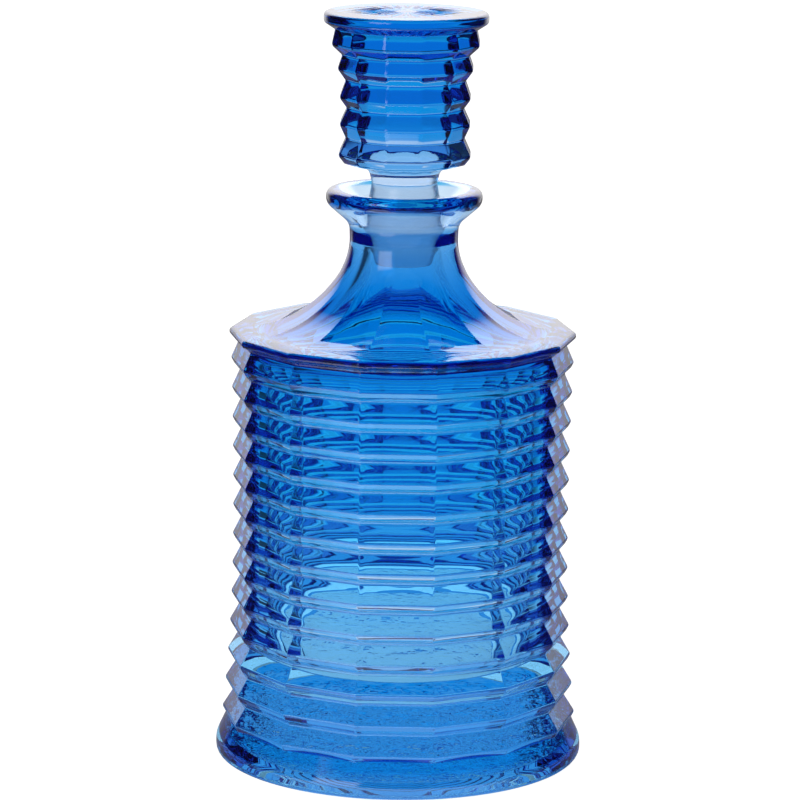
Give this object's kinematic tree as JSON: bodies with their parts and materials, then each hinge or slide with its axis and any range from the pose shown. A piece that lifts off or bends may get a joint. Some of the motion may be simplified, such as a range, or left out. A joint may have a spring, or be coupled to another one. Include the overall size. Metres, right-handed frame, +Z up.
{
  "type": "stoppered glass bottle",
  "caption": "Ribbed, flat-sided blue glass bottle with a heavy base, a flared lip and a lift-out solid glass stopper; holds liquids or apothecary goods.",
  "frame": {"origin": "centre of the foot's underside, on the surface the bottle stands on", "axes": "+Z up along the bottle's axis; -Y is the front, square to one flat side of the body; +X runs through a corner of the body"},
  "size_m": [0.1182, 0.1182, 0.24],
  "materials": {
    "bottle_glass": "clear pressed glass under a transparent cobalt-blue coat on its outside; bare inside, in the seat and under the foot",
    "stopper_glass": "clear solid glass under a transparent cobalt-blue coat, with only a trace of it on the frosted, ground peg"
  },
  "bodies": {
    "bottle": {"bottle": "bottle_glass"},
    "stopper": {"stopper": "stopper_glass"}
  },
  "joints": [
    {"name": "stopper_lift", "type": "slide", "parent": "bottle", "child": "stopper", "axis": [0, 0, 1], "range_m": [0, 0.045]}
  ]
}
